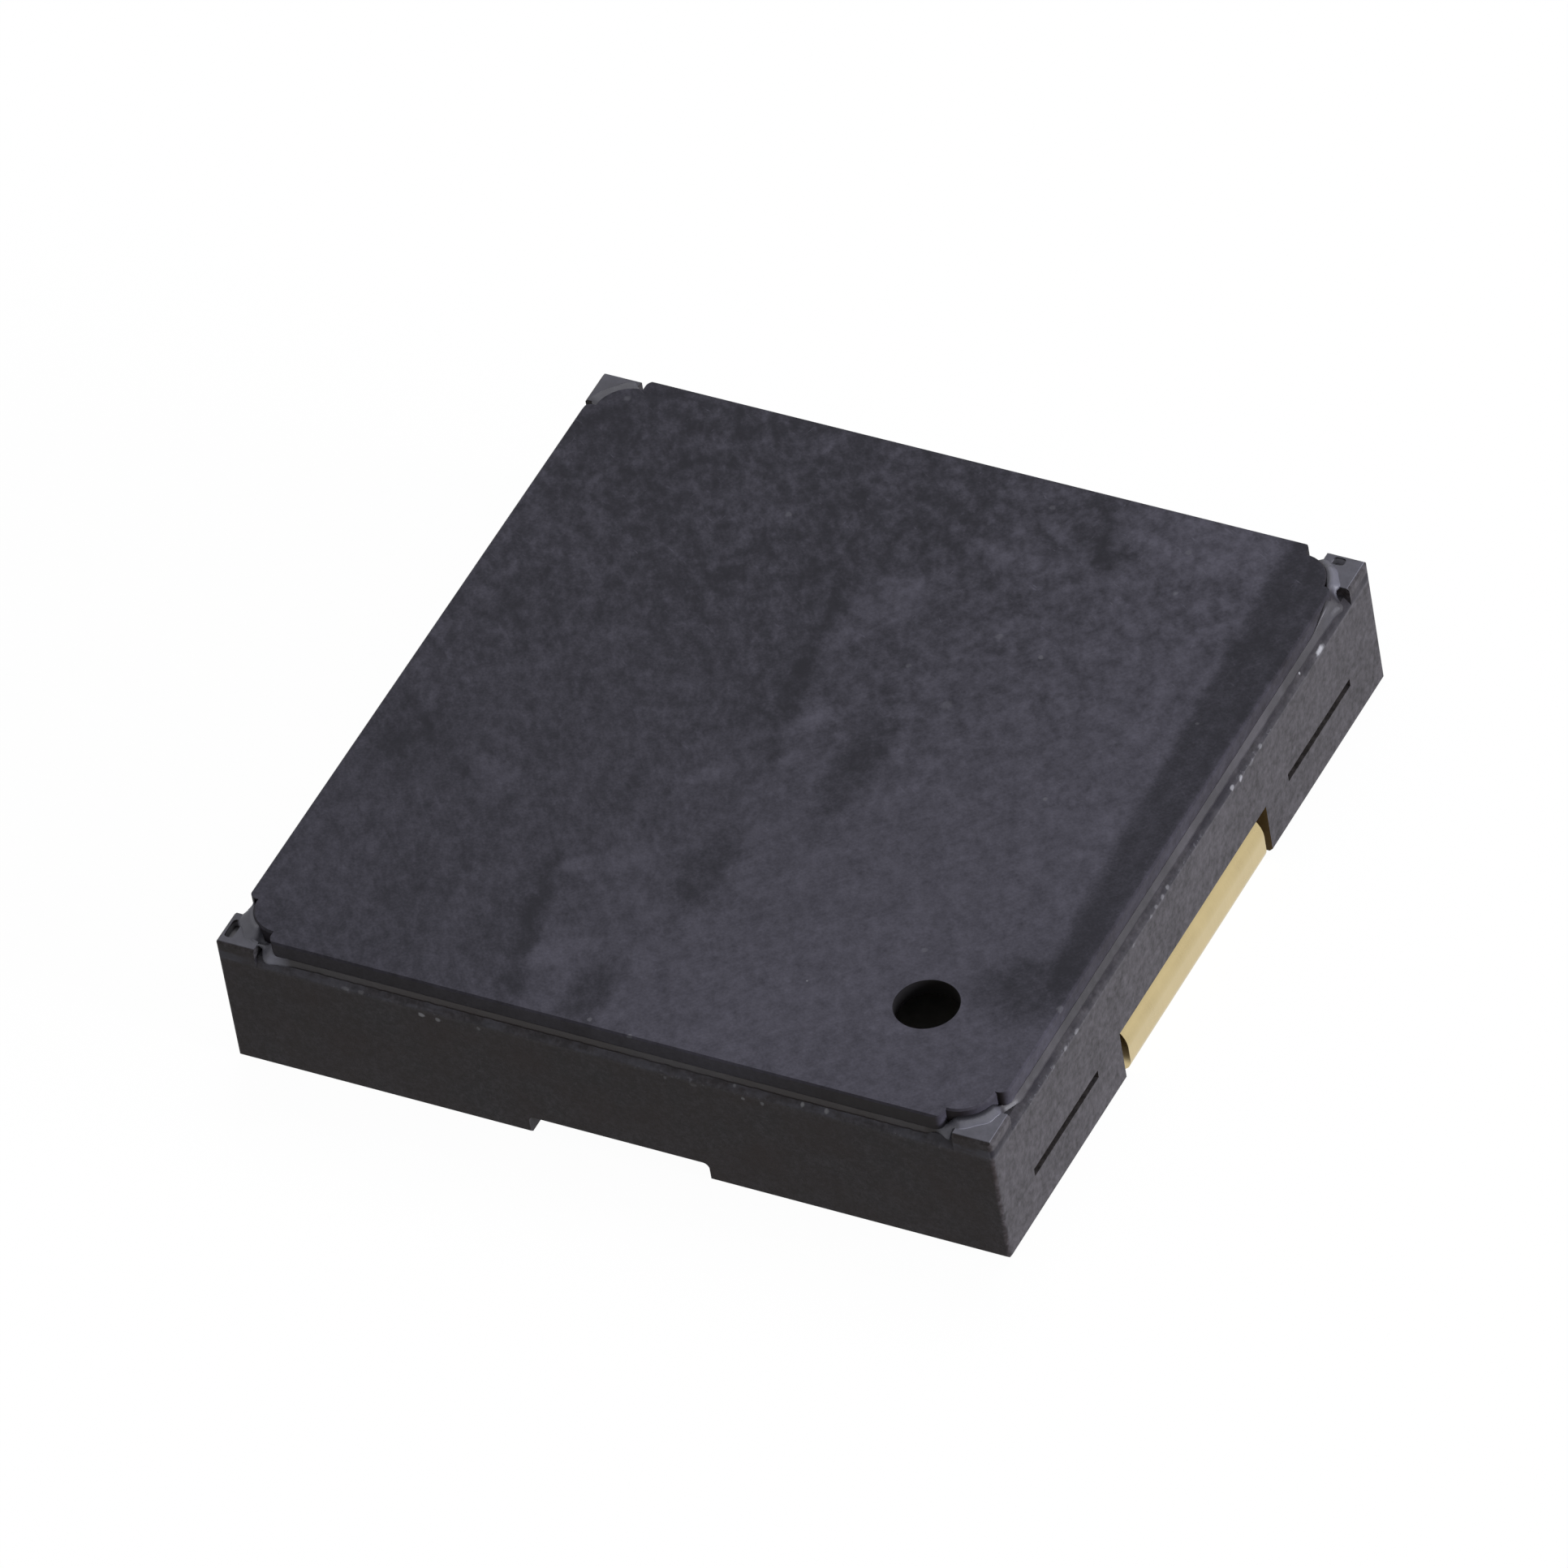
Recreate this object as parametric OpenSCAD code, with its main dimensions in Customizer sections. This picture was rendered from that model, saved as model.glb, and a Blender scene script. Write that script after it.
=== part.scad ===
// Low-profile surface-mount piezo sounder, in millimetres.
// Origin: centre of the square, on the plane of the two solder feet. +Z is up, out of the sound hole.
// +X and -X are the lead sides, and -Y is the front, with the sound hole towards +X and -Y.

/* [Case] */
// Length of each side of the square case
case_w = 9.0; // [8.6:0.1:11]
// Height from the underside of the case to its rim
rim_h = 1.55; // [1.3:0.01:2]
// Thickness of the side walls at the rim
wall_t = 0.6; // [0.5:0.01:0.8]
// Thickness of the floor
floor_t = 0.3; // [0.24:0.01:0.4]
// Radius of the upright corner edges
corner_r = 0.05; // [0.02:0.01:0.15]
// Radius of the upright edges inside the hollow
hollow_r = 0.25; // [0.1:0.01:0.3]
// Bevel around the underside
foot_bevel = 0.04; // [0.01:0.01:0.08]
// How far the rim's bevel goes in from the side
rim_bevel_in = 0.08; // [0.03:0.01:0.12]
// How far the rim's bevel goes down from the rim
rim_bevel_down = 0.09; // [0.05:0.01:0.2]
// Gap under the case when it stands on its solder feet
standoff = 0.02; // [0.01:0.01:0.05]

/* [Corner posts] */
// Length of a post along each side
post_arm = 0.45; // [0.42:0.01:0.6]
// Height of a post over the rim
post_h = 0.14; // [0.08:0.01:0.18]
// Gap for resin between a lid lobe and the foot of its post
post_gap = 0.06; // [0.03:0.01:0.1]
// How much wider that gap is at the top of the post
post_taper = 0.04; // [0.01:0.01:0.06]
// Bevel around the top of a post
post_bevel = 0.03; // [0.01:0.01:0.04]
// Width of the sink marks in the tops of two posts
sink_w = 0.11; // [0.06:0.01:0.12]
// Length of the front left post's sink mark
sink_front_l = 0.26; // [0.15:0.01:0.28]
// Length of the back right post's sink mark
sink_back_l = 0.15; // [0.12:0.01:0.2]
// Radius of the sink marks' corners
sink_r = 0.04; // [0.01:0.01:0.05]
// Depth of the sink marks
sink_d = 0.1; // [0.04:0.01:0.12]
// Skin left between a sink mark and the sides
sink_skin = 0.05; // [0.04:0.01:0.06]

/* [Bottom notches] */
// Width of the notch in the bottom edge of the front and the back
notch_w = 2.1; // [1.5:0.1:3]
// Height of that notch
notch_h = 0.25; // [0.15:0.01:0.28]
// How far it goes in
notch_depth = 0.45; // [0.2:0.01:0.5]
// Radius of its upper corners
notch_r = 0.07; // [0.02:0.01:0.12]

/* [Vent] */
// Diameter of the damping vent in the floor
vent_d = 0.4; // [0.3:0.05:0.6]
// Distance of the vent's centre from the dam, along X and along Y
vent_in = 0.88; // [0.4:0.02:1.6]

/* [Lid] */
// How far the lid's edges lie in from the lead sides
lid_inset_x = 0.1; // [0.08:0.01:0.14]
// How far they lie in from the front and the back
lid_inset_y = 0.07; // [0.05:0.01:0.14]
// Thickness of the lid
lid_t = 0.19; // [0.16:0.01:0.3]
// Bevel around the top of the lid
lid_bevel = 0.02; // [0.01:0.01:0.06]
// How far each corner step lies in from the sides
lid_step = 0.6; // [0.56:0.01:0.7]
// Radius of the lid's corners beside each step
lid_r = 0.1; // [0.04:0.01:0.15]
// Open gap between a corner step and the resin ribbon
ribbon_gap = 0.1; // [0.05:0.01:0.15]
// Radius of the corner lobes
lobe_r = 0.39; // [0.3:0.01:0.42]
// Thickness of the resin under the lid
bond_t = 0.07; // [0.03:0.01:0.1]
// Overlap of the resin past the inside of the wall
bond_in = 0.04; // [0.01:0.01:0.08]

/* [Sound hole] */
// Diameter of the sound hole
sound_d = 0.7; // [0.5:0.05:1]
// Distance of its centre from the lid's right edge
sound_in_x = 1.35; // [1.3:0.05:2.4]
// Distance of its centre from the lid's front edge
sound_in_y = 1.43; // [1.3:0.01:2.4]

/* [Leads] */
// Thickness of the lead strip
lead_t = 0.1; // [0.08:0.01:0.12]
// Height of the lead's underside over the underside of the case
lead_h = 0.535; // [0.5:0.005:0.6]
// Width of the strip that folds down the side
strip_w = 3.26; // [2.6:0.02:3.6]
// Length of the solder foot under the case
foot_l = 1.2; // [0.8:0.05:1.5]
// Outer radius of the upper bend
bend_r = 0.3; // [0.2:0.01:0.3]
// Outer radius of the bend into the foot
toe_r = 0.17; // [0.13:0.01:0.22]
// Clearance at each side of the strip
strip_gap = 0.125; // [0.05:0.005:0.2]
// Clearance over the strip
strip_over = 0.025; // [0.01:0.005:0.05]
// How far each arm of the fork reaches past the middle of its bead, towards the strip
arm_lap = 0.47; // [0.2:0.01:0.5]
// How far each arm's outer end stays clear of the hollow's corner
arm_in = 0.12; // [0.05:0.01:0.3]
// How far the cut tie bars lie behind the side
tie_recess = 0.15; // [0.05:0.01:0.2]
// Wall left between the hollow and the bar that joins the arms
bar_in = 0.08; // [0.05:0.01:0.1]
// Width of that bar
bar_w = 0.16; // [0.1:0.01:0.18]

/* [Diaphragm] */
// Width of the ledge that carries the arm ends
ledge_w = 0.3; // [0.2:0.01:0.35]
// Clearance between the ledge and the plate
plate_gap = 0.1; // [0.05:0.01:0.15]
// Thickness of the metal plate
plate_t = 0.05; // [0.03:0.01:0.08]
// Thickness of the ceramic
ceramic_t = 0.05; // [0.03:0.01:0.08]
// Width of bare plate left beside the ceramic on the left
bare_w = 0.6; // [0.4:0.05:1]
// Width of bare plate on its other three sides
margin = 0.1; // [0.05:0.01:0.2]
// How far the corner pads reach in under the plate
pad_in = 0.35; // [0.2:0.01:0.4]
// Width of the groove that holds the seal
groove_w = 0.3; // [0.2:0.01:0.4]
// Depth of the groove under the plate
groove_d = 0.12; // [0.06:0.01:0.15]
// Thickness of the dam inside the groove
dam_t = 0.12; // [0.08:0.01:0.2]
// Gap between the dam and the plate
dam_gap = 0.03; // [0.02:0.01:0.05]

/* [Resins] */
// Gap between an undercoat dab and the corner pad beside it
pad_gap = 0.07; // [0.02:0.01:0.15]
// Half the width of an undercoat dab
dab_r = 0.18; // [0.12:0.01:0.2]
// Length of an undercoat dab between the centres of its round ends
dab_l = 0.3; // [0.2:0.01:0.36]
// Height of a dab over the leads
dab_h = 0.04; // [0.02:0.01:0.06]
// Radius of a conductive bead
bead_r = 0.18; // [0.14:0.01:0.2]
// Length of a conductive bead between the centres of its round ends
bead_l = 0.3; // [0.2:0.01:0.3]
// Height of a bead over the leads
bead_h = 0.1; // [0.08:0.01:0.14]
// How far the seal laps onto the ledge and onto the diaphragm
seal_lap = 0.09; // [0.05:0.01:0.1]
// Height of the seal over the leads
seal_h = 0.03; // [0.02:0.01:0.035]

/* [Hidden] */
$fn = 64;
eps = 0.01;
half = case_w / 2;
lid_x = half - lid_inset_x;
lid_y = half - lid_inset_y;
case_z = standoff;
rim_z = case_z + rim_h;
floor_z = case_z + floor_t;
lid_z = rim_z + bond_t;
lid_top = lid_z + lid_t;
lobe_c = half - lid_step;
hollow = half - wall_t;
lead_z = case_z + lead_h;
lead_top = lead_z + lead_t;
ledge = hollow - ledge_w;
plate_half = ledge - plate_gap;
plate_z = lead_top - ceramic_t - plate_t;
groove_z = plate_z - groove_d;
groove_half = ledge - groove_w;
dam_half = groove_half - dam_t;
pocket_x = half - bend_r;
pocket_w = strip_w + 2 * strip_gap;
bar_x = hollow + bar_in;
arm_end = hollow - arm_in;
dab_y = plate_half - pad_in - pad_gap - dab_l / 2 - dab_r;
arm_w = arm_end - dab_y + arm_lap;
arm_y = arm_end - arm_w / 2;
vent_off = dam_half - vent_in;

LEADS = [["left", -1], ["right", 1]];
CORNERS = [["front_left", -1, -1], ["front_right", 1, -1], ["back_left", -1, 1], ["back_right", 1, 1]];

// ---- helpers ----

// A flat rectangle, given by half its length and half its width, with rounded corners
module rounded(half_l, half_w, r) {
    square([2 * half_l - 2 * r, 2 * half_w], center = true);
    square([2 * half_l, 2 * half_w - 2 * r], center = true);
    for (x = [-1, 1], y = [-1, 1]) translate([x * (half_l - r), y * (half_w - r)]) circle(r);
}

// An upright square bar, centred on Z, from z0 to z1, with rounded upright edges
module bar(half_side, z0, z1, r = 0) {
    translate([0, 0, z0]) linear_extrude(z1 - z0) {
        if (r > 0) rounded(half_side, half_side, r);
        else square(2 * half_side, center = true);
    }
}

// A box from its lowest to its highest corner
module box(low, high) {
    translate(low) cube(high - low);
}

// A profile in X and Z, run along Y and centred on it
module along_y(length) {
    translate([0, length / 2, 0]) rotate([90, 0, 0]) linear_extrude(length) children();
}

// The same shape turned to all four sides, or to the two lead sides
module four_sides() {
    for (a = [0, 90, 180, 270]) rotate(a) children();
}

module front_and_back() {
    for (a = [90, 270]) rotate(a) children();
}

module lead_sides() {
    for (a = [0, 180]) rotate(a) children();
}

module four_corners() {
    for (c = CORNERS) translate([c[1] * lobe_c, c[2] * lobe_c, 0]) children();
}

// A bar with all its long edges bevelled, run along Y, of a half width and from z0 to z1
module bevelled_run(half_side, z0, z1, bevel) {
    along_y(2 * case_w) polygon([
        [bevel - half_side, z0], [half_side - bevel, z0],
        [half_side, z0 + bevel], [half_side, z1 - bevel],
        [half_side - bevel, z1], [bevel - half_side, z1],
        [-half_side, z1 - bevel], [-half_side, z0 + bevel]
    ]);
}

// Two such bars crossed, so that the bevels mitre
module bevelled_bar(half_x, half_y, z0, z1, bevel) {
    intersection() {
        bevelled_run(half_x, z0, z1, bevel);
        rotate(90) bevelled_run(half_y, z0, z1, bevel);
    }
}

// ---- leads ----

// The strip's section: out through the wall, down the side and under the case as a foot
module strip_section() {
    translate([bar_x, lead_z]) square([pocket_x - bar_x, lead_t]);
    translate([pocket_x, lead_top - bend_r]) intersection() {
        difference() {
            circle(bend_r);
            circle(bend_r - lead_t);
        }
        square(bend_r);
    }
    translate([half - lead_t, toe_r]) square([lead_t, lead_top - bend_r - toe_r]);
    translate([half - toe_r, toe_r]) intersection() {
        difference() {
            circle(toe_r);
            circle(toe_r - lead_t);
        }
        translate([0, -toe_r]) square(toe_r);
    }
    translate([half - foot_l, 0]) square([foot_l - toe_r, lead_t]);
}

// The lead on the +X side: the strip, the bar inside the wall, and the arms from ledge to cut tie bar
module lead() {
    along_y(strip_w) strip_section();
    box([bar_x, -arm_end, lead_z], [bar_x + bar_w, arm_end, lead_top]);
    for (y = [-arm_y, arm_y])
        box([ledge, y - arm_w / 2, lead_z], [half - tie_recess, y + arm_w / 2, lead_top]);
}

module terminal(side) {
    color("goldenrod") rotate(side > 0 ? 0 : 180) lead();
}

// ---- case ----

// The cone that a post's inner face follows around a lid lobe
module post_face() {
    foot_r = lobe_r + post_gap;
    translate([0, 0, rim_z]) cylinder(post_h, foot_r, foot_r + post_taper);
}

module posts() {
    difference() {
        intersection() {
            bar(half, rim_z - post_arm, rim_z + post_h, corner_r);
            bevelled_bar(half, half, -case_w, rim_z + post_h, post_bevel);
        }
        box([-half - eps, post_arm - half, rim_z - half], [half + eps, half - post_arm, rim_z + half]);
        box([post_arm - half, -half - eps, rim_z - half], [half - post_arm, half + eps, rim_z + half]);
        four_corners() post_face();
    }
}

// Sink marks: the front left post has one along its left side, the back right one along its back
module sinks() {
    side = half - sink_skin - sink_w / 2;
    near = half - 2 * sink_skin;
    translate([0, 0, rim_z + post_h - sink_d]) linear_extrude(sink_d + eps) {
        translate([-side, sink_front_l / 2 - near]) rounded(sink_w / 2, sink_front_l / 2, sink_r);
        translate([near - sink_w - sink_back_l / 2, side]) rounded(sink_back_l / 2, sink_w / 2, sink_r);
    }
}

// The outer block with a mitred bevel at its foot, and one at its rim between the posts
module case_block() {
    span = case_w - 2 * post_arm;
    difference() {
        intersection() {
            bar(half, case_z, rim_z, corner_r);
            bevelled_bar(half, half, case_z, rim_z + 2 * foot_bevel, foot_bevel);
        }
        four_sides() along_y(span) polygon([
            [half - rim_bevel_in, rim_z + eps], [half - rim_bevel_in, rim_z],
            [half, rim_z - rim_bevel_down], [half + eps, rim_z - rim_bevel_down], [half + eps, rim_z + eps]
        ]);
    }
}

// The hollow, stepped down past the ledge and the groove to the floor, with pads under the plate
module hollow_space() {
    bar(hollow, lead_top, rim_z + eps, hollow_r);
    difference() {
        bar(ledge, floor_z, lead_top + eps, hollow_r);
        difference() {
            bar(ledge + eps, floor_z - eps, groove_z);
            bar(groove_half, floor_z - 2 * eps, groove_z + eps);
        }
        difference() {
            bar(groove_half, floor_z - eps, plate_z - dam_gap);
            bar(dam_half, floor_z - 2 * eps, plate_z);
        }
        corner_pads();
    }
}

// The pads under the plate's corners
module corner_pads() {
    for (x = [-1, 1], y = [-1, 1]) translate([x * plate_half, y * plate_half, 0])
        bar(pad_in, floor_z - eps, plate_z);
}

// The pocket in a lead side, and the recess under the case that seats the foot
module strip_pocket() {
    w = pocket_w / 2;
    box([pocket_x, -w, case_z - eps], [half + eps, w, lead_top + strip_over]);
    box([half - foot_l - strip_gap, -w, case_z - eps], [half + eps, w, lead_t]);
}

module tie_slots() {
    for (y = [-arm_y, arm_y])
        box([half - tie_recess - eps, y - arm_w / 2, lead_z], [half + eps, y + arm_w / 2, lead_top]);
}

module bottom_notch() {
    top = case_z + notch_h;
    translate([half - notch_depth, 0, 0]) rotate([90, 0, 90]) linear_extrude(notch_depth + eps) {
        translate([-notch_w / 2, case_z - eps]) square([notch_w, notch_h - notch_r + eps]);
        translate([notch_r - notch_w / 2, case_z]) square([notch_w - 2 * notch_r, notch_h]);
        for (s = [-1, 1]) translate([s * (notch_w / 2 - notch_r), top - notch_r]) circle(notch_r);
    }
}

module vent() {
    translate([-vent_off, vent_off, case_z - eps]) cylinder(floor_t + 2 * eps, d = vent_d);
}

module case() {
    color([0.2, 0.2, 0.22]) difference() {
        union() {
            case_block();
            posts();
        }
        hollow_space();
        lead_sides() {
            strip_pocket();
            tie_slots();
            lead();
        }
        front_and_back() bottom_notch();
        vent();
        sinks();
    }
}

// ---- lid ----

// The flat lid without its lobes: two crossed bars, which leave a step at each corner
module lid_outline() {
    rounded(lid_x, lobe_c, lid_r);
    rounded(lobe_c, lid_y, lid_r);
}

module lid() {
    color([0.24, 0.24, 0.28]) difference() {
        union() {
            intersection() {
                translate([0, 0, lid_z]) linear_extrude(lid_t) lid_outline();
                bevelled_bar(lid_x, lid_y, lid_z - lid_t, lid_top, lid_bevel);
            }
            four_corners() translate([0, 0, lid_z]) {
                cylinder(lid_t - lid_bevel, r = lobe_r);
                translate([0, 0, lid_t - lid_bevel]) cylinder(lid_bevel, lobe_r, lobe_r - lid_bevel);
            }
        }
        translate([lid_x - sound_in_x, sound_in_y - lid_y, lid_z - eps])
            cylinder(lid_t + 2 * eps, d = sound_d);
    }
}

// The resin: a thin layer under the lid, and a ribbon between each lobe and its post
module lid_bond() {
    inner = lobe_c + ribbon_gap;
    color([0.5, 0.5, 0.55]) {
        difference() {
            translate([0, 0, rim_z]) linear_extrude(bond_t) {
                lid_outline();
                for (c = CORNERS) translate([c[1] * lobe_c, c[2] * lobe_c]) circle(lobe_r + post_gap);
            }
            bar(hollow - bond_in, rim_z - eps, lid_z + eps);
        }
        difference() {
            four_corners() post_face();
            four_corners() translate([0, 0, rim_z - eps]) cylinder(post_h + 2 * eps, r = lobe_r);
            for (a = [0, 90]) rotate(a) box([-inner, -half, rim_z - eps], [inner, half, rim_z + half]);
        }
    }
}

// ---- diaphragm ----

module plate_blank() {
    bar(plate_half, plate_z, plate_z + plate_t);
}

module diaphragm_plate() {
    color("silver") plate_blank();
}

module ceramic_blank() {
    edge = plate_half - margin;
    box([bare_w - plate_half, -edge, plate_z + plate_t], [edge, edge, plate_z + plate_t + ceramic_t]);
}

module piezo_ceramic() {
    color("lightgray") ceramic_blank();
}

module diaphragm_blank() {
    plate_blank();
    ceramic_blank();
}

// An undercoat dab fills the gap between ledge and plate and laps onto both
module dab_blank(x, y) {
    height = lead_top + dab_h - plate_z;
    translate([x * (ledge - plate_gap / 2), y * dab_y, plate_z]) linear_extrude(height) {
        square([2 * dab_r, dab_l], center = true);
        for (s = [-1, 1]) translate([0, s * dab_l / 2]) circle(dab_r);
    }
}

// The solid ledge, up to the leads' top, that dabs and beads lie against
module ledge_blank(inner) {
    difference() {
        bar(half, groove_z - half, lead_top);
        bar(inner, groove_z - 2 * half, lead_top + eps);
    }
}

module undercoat(x, y) {
    color("olive") difference() {
        dab_blank(x, y);
        diaphragm_blank();
        ledge_blank(ledge);
    }
}

// A conductive bead: a rod with round ends that lies across the dab, cut off level with the pads
module bead_blank(x, y) {
    translate([x * (ledge - plate_gap / 2), y * dab_y, lead_top + bead_h - bead_r]) difference() {
        union() {
            rotate([0, 90, 0]) cylinder(bead_l, r = bead_r, center = true);
            for (s = [-1, 1]) translate([s * bead_l / 2, 0, 0]) sphere(bead_r);
        }
        bar(half, -half, plate_z - lead_top - bead_h + bead_r);
    }
}

module conductor(x, y) {
    color("gray") difference() {
        bead_blank(x, y);
        dab_blank(x, y);
        diaphragm_blank();
        ledge_blank(plate_half);
    }
}

// The seal: silicone in the groove and the gap, capped over the edges, and cut away round the beads
module seal_ring() {
    color([0.85, 0.85, 0.8]) difference() {
        union() {
            bar(ledge, groove_z, lead_top, hollow_r);
            bar(ledge + seal_lap, lead_top, lead_top + seal_h, hollow_r);
        }
        bar(groove_half, groove_z - eps, plate_z + eps);
        bar(plate_half - seal_lap, plate_z, lead_top + half);
        diaphragm_blank();
        corner_pads();
        for (x = [-1, 1], y = [-1, 1]) {
            dab_blank(x, y);
            bead_blank(x, y);
        }
    }
}

case();
lid();
lid_bond();
diaphragm_plate();
piezo_ceramic();
seal_ring();
for (l = LEADS) terminal(l[1]);
for (c = CORNERS) {
    undercoat(c[1], c[2]);
    conductor(c[1], c[2]);
}
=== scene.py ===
# %% [markdown]
# # A low surface-mount piezo buzzer
# The part is a black moulded case 9 mm square and under 2 mm high. A flat lid is bonded on top, with
# one small sound hole near a corner, and a gold-plated lead folds under the case on each of two sides.
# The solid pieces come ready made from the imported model. This lesson gives them their finishes, makes
# the bonding resin and the scuffs that a solid model leaves plain, and sets up light and camera.

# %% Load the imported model
import math

import bpy
import numpy as np
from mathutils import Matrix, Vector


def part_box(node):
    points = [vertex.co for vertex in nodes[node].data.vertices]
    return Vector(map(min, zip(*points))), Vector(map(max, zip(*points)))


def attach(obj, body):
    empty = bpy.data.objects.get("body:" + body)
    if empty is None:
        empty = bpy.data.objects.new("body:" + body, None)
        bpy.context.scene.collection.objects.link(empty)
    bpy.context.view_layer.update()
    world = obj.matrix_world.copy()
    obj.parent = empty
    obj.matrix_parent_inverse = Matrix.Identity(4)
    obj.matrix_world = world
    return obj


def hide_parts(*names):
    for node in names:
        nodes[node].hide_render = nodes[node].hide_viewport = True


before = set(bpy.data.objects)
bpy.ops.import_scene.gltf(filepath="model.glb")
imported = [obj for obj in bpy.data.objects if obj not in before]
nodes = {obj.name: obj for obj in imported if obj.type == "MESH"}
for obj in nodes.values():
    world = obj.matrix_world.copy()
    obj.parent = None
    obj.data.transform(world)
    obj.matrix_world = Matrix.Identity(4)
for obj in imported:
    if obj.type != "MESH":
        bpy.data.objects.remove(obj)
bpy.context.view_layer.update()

MM = 0.001
case_low, case_high = (np.array(corner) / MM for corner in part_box("case"))
lid_low, lid_high = (np.array(corner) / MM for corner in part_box("lid"))
rim_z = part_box("lid_bond")[0][2] / MM     # the resin lies on the case's rim
print("case", np.round(case_low, 3), "to", np.round(case_high, 3), "mm")
print("lid", np.round(lid_low, 3), "to", np.round(lid_high, 3), "mm")
print("rim", round(rim_z, 3), "mm high")

# %% [markdown]
# ## The camera
# A small part is best seen from well back with a long lens, so that its sides stay nearly parallel.
# The camera stands on a sphere round a target on the board plane, given by two angles, and it is
# rolled a little, which tips the part in the view. Its three axes are worked out first and go into
# the matrix directly, because that leaves no doubt about which way is up.

# %% Place the camera
CAMERA_AZIMUTH = math.radians(33.754)     # from the front towards the right side
CAMERA_HEIGHT = math.radians(43.734)      # above the board plane
CAMERA_ROLL = math.radians(10.436)
CAMERA_DISTANCE = 222.51                  # mm
CAMERA_TARGET = np.array([-0.849, 0.986, case_low[2]])
SENSOR = 36.0                             # mm wide
LENS = 487.67                             # mm


def camera_axes(azimuth, height, roll):
    """Right, up and back of a camera that looks at its target, rolled about its own line of sight."""
    back = np.array([math.sin(azimuth) * math.cos(height),
                     -math.cos(azimuth) * math.cos(height), math.sin(height)])
    right = np.cross([0.0, 0.0, 1.0], back)
    right /= np.linalg.norm(right)
    up = np.cross(back, right)
    return (math.cos(roll) * right - math.sin(roll) * up,
            math.sin(roll) * right + math.cos(roll) * up, back)


scene = bpy.context.scene
camera = bpy.data.objects.new("camera", bpy.data.cameras.new("camera"))
scene.collection.objects.link(camera)
right, up, back = camera_axes(CAMERA_AZIMUTH, CAMERA_HEIGHT, CAMERA_ROLL)
placed = np.eye(4)
placed[:3, 0], placed[:3, 1], placed[:3, 2] = right, up, back
placed[:3, 3] = (CAMERA_TARGET + back * CAMERA_DISTANCE) * MM
camera.matrix_world = placed.T.tolist()
camera.data.sensor_width = SENSOR
camera.data.lens = LENS
camera.data.clip_start = 10 * MM
camera.data.clip_end = 4.0
scene.camera = camera
print("camera at", np.round(placed[:3, 3] / MM, 1), "mm")

# %% [markdown]
# ## Shader maths as plain expressions
# A finish is a sum of patterns: clouds, streaks, grain and specks. Written as nodes that is a tangle, so
# one small class wraps a socket and gives it +, -, * and /. A second class is a finish: it holds the
# material and has one method that adds any other node, with its settings and the values of its sockets.

# %% Sockets with arithmetic
def operator(operation, other_first=False):
    """Makes a method of Value that adds one Math node to the value's finish."""
    def method(self, *others):
        terms = (*others, self) if other_first else (self, *others)
        return self.finish.math(operation, *terms)
    return method


class Value:
    """One output socket. Arithmetic on it adds Math nodes to its finish."""

    __add__ = __radd__ = operator("ADD")
    __sub__ = operator("SUBTRACT")
    __rsub__ = operator("SUBTRACT", other_first=True)
    __mul__ = __rmul__ = operator("MULTIPLY")
    __truediv__ = operator("DIVIDE")
    __abs__ = operator("ABSOLUTE")
    least = operator("MINIMUM")
    soft_floor = operator("SMOOTH_MAX")

    def __init__(self, finish, socket):
        self.finish, self.socket = finish, socket

    def ramp(self, low, high, start=0.0, end=1.0):
        """Rises smoothly from start to end as this value goes from low to high."""
        return self.finish.node("ShaderNodeMapRange", {"interpolation_type": "SMOOTHSTEP"},
                                {0: self, 1: low, 2: high, 3: start, 4: end})

    def band(self, low, high, soft):
        """1 between low and high and 0 outside, with soft edges."""
        return self.ramp(low - soft, low + soft) * self.ramp(high - soft, high + soft, 1.0, 0.0)


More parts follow.
